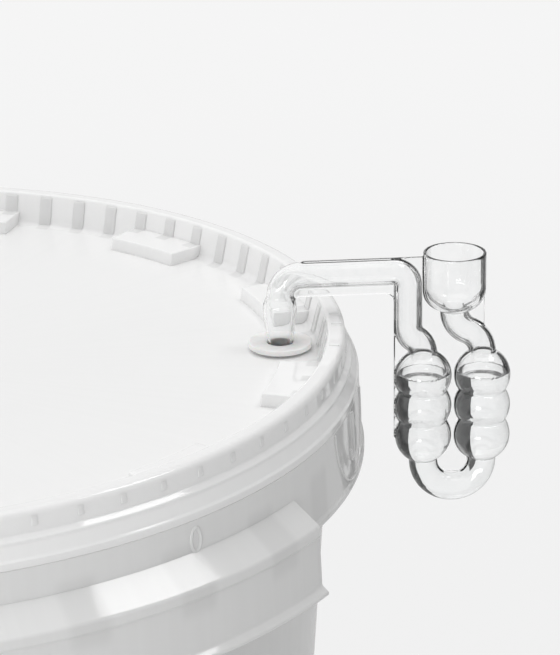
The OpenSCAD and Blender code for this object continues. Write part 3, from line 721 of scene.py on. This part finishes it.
def dress(piece, finish, slot, body=None, *nodes):
    """Gives a piece its finish, and its body and the CAD nodes that it stands for."""
    piece.data.materials.clear()
    piece.data.materials.append(finish)
    if body:
        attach(piece, body)
        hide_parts(*nodes)


# the last numbers place painted shade bands on the collar, standing in for the gussets' shade through the wall
bucket_finish = milky_plastic("milky_bucket_plastic", (0.80, 0.802, 0.798), (0.77, 0.77, 0.767), 0.04,
                              (0.45, 30, 0.1, (0.2, 0.75), (0.336, 0.350), (0.1, 0.3)))
# the last numbers place painted shade bands on the lid's inner wall, standing in for the shade of its ribs
lid_finish = milky_plastic("milky_lid_plastic", (0.905, 0.905, 0.903), (0.885, 0.885, 0.883), 0.0,
                           (0.9, 72, 1.131, (0.3, 0.6), (0.3685, 0.377), (0.1765, 0.1825)))
rubber_finish = white_rubber("white_rubber")

dress(make_bucket(bucket_finish), bucket_finish, "bucket", "bucket", "bucket")
dress(make_lid(lid_finish), lid_finish, "lid", "lid", "lid")
dress(make_grommet(), rubber_finish, "grommet_rubber", "grommet", "grommet")
dress(make_grip(), lid_finish, "grip", "grip", "handle_grip")
dress(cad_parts["lid_seal"], rubber_finish, "seal_rubber")
dress(merged_copy("handle_wire"), galvanised_wire("galvanised_wire"), "wire", "handle", "handle_wire")
lock, water = make_airlock()
dress(lock, clear_plastic("clear_plastic"), "clear_plastic", "airlock", "airlock")
dress(water, clear_water("clear_water"), "water", "airlock", "sealing_water")


# ---- Floor, light and camera ----

def make_floor():
    mesh = bpy.data.meshes.new("floor")
    points = [(9 * cos(a * pi / 32), 9 * sin(a * pi / 32), 0) for a in range(64)]
    mesh.from_pydata(points, [], [list(range(64))])
    floor = bpy.data.objects.new("floor", mesh)
    bpy.context.scene.collection.objects.link(floor)
    f = Finish("pale_floor")
    shade = f.principled(f.blend((0.64, 0.64, 0.64), (0.67, 0.67, 0.67), f.noise(3, 2)), 0.9, Specular_IOR_Level=0.1)
    away = f.node("VectorMath", {"operation": "LENGTH"}, out="Value", Vector=f.place())
    glow = f.node("Emission", Color=f.blend((0.915, 0.915, 0.915), (0.985, 0.985, 0.985), away.ramp(0.4, 2.2)), Strength=1.06)
    path = f.tree.nodes.new("ShaderNodeLightPath")
    seen = Value(f.tree, path.outputs["Is Camera Ray"])
    clear = Value(f.tree, path.outputs["Is Transmission Ray"])
    share = (seen + clear).maths("MINIMUM", seen + clear, 1.0) * 0.75
    mixed = f.tree.nodes.new("ShaderNodeMixShader")
    join(f.tree, mixed.inputs[0], share)
    join(f.tree, mixed.inputs[1], shade)
    join(f.tree, mixed.inputs[2], glow)
    mesh.materials.append(f.surface(Value(f.tree, mixed.outputs[0])))


def make_world():
    world = bpy.data.worlds.new("studio")
    bpy.context.scene.world = world
    world.use_nodes = True
    tree = world.node_tree
    tree.nodes.clear()
    path = tree.nodes.new("ShaderNodeLightPath")
    rays = [Value(tree, path.outputs["Is %s Ray" % n]) for n in ("Camera", "Glossy", "Transmission")]
    back = tree.nodes.new("ShaderNodeBackground")
    shown = (rays[0] + rays[2]).maths("MINIMUM", rays[0] + rays[2], 1.0)
    toward = tree.nodes.new("ShaderNodeSeparateXYZ")
    tree.links.new(tree.nodes.new("ShaderNodeTexCoord").outputs["Generated"], toward.inputs[0])
    dim = 0.72 - Value(tree, toward.outputs["X"]) * 0.42
    join(tree, back.inputs["Strength"], shown * 0.96 + (1 - shown) * dim)
    back.inputs["Color"].default_value = (1, 1, 1, 1)
    out = tree.nodes.new("ShaderNodeOutputWorld")
    tree.links.new(back.outputs[0], out.inputs["Surface"])


def softbox(name, at, aim, size, power):
    lamp = bpy.data.lights.new(name, "AREA")
    lamp.shape, lamp.size, lamp.size_y, lamp.energy = "RECTANGLE", size[0], size[1], power
    made = bpy.data.objects.new(name, lamp)
    bpy.context.scene.collection.objects.link(made)
    line = Matrix.Identity(3).col[0].__class__(aim) - Matrix.Identity(3).col[0].__class__(at)
    made.matrix_world = Matrix.Translation(at) @ line.to_track_quat("-Z", "Y").to_matrix().to_4x4()
    return made


def dark_card():
    """A black flag to the right of the set, outside the picture. Only rays that went through the airlock see it."""
    mesh = bpy.data.meshes.new("dark_card")
    near, far = (0.40, 0.55), (0.76, 0.24)
    mesh.from_pydata([(*near, 0), (*far, 0), (*far, 0.7), (*near, 0.7)], [], [(0, 1, 2, 3)])
    card = bpy.data.objects.new("dark_card", mesh)
    bpy.context.scene.collection.objects.link(card)
    f = Finish("black_flock")
    mesh.materials.append(f.surface(f.principled(f.blend((0.01, 0.01, 0.01), (0.03, 0.03, 0.03), f.noise(40)), 1.0,
                                                 Specular_IOR_Level=0.0)))
    card.visible_camera = card.visible_diffuse = card.visible_glossy = card.visible_shadow = False


def set_camera():
    data = bpy.data.cameras.new("camera")
    data.sensor_fit, data.sensor_width = "AUTO", 36
    data.lens = 36 * 3000 / 655
    data.clip_start, data.clip_end = 0.05, 60
    made = bpy.data.objects.new("camera", data)
    bpy.context.scene.collection.objects.link(made)
    tilt = Matrix.Rotation(radians(90 - 19.901), 4, "X") @ Matrix.Rotation(radians(-0.726), 4, "Z")
    made.matrix_world = Matrix.Translation((0.16532, -1.06561, 0.76452)) @ tilt
    bpy.context.scene.camera = made


make_floor()
make_world()
dark_card()
softbox("overhead", (0.0, 0.2, 2.2), (0.0, 0.0, 0.3), (2.0, 2.0), 8)
softbox("front_low", (-0.9, -2.1, 0.25), (0.0, 0.0, 0.3), (1.6, 0.4), 14)
softbox("small_high", (1.15, 0.15, 1.95), (0.0, 0.0, 0.3), (0.5, 0.5), 4.8)
set_camera()
bpy.context.scene.view_settings.view_transform = "Standard"
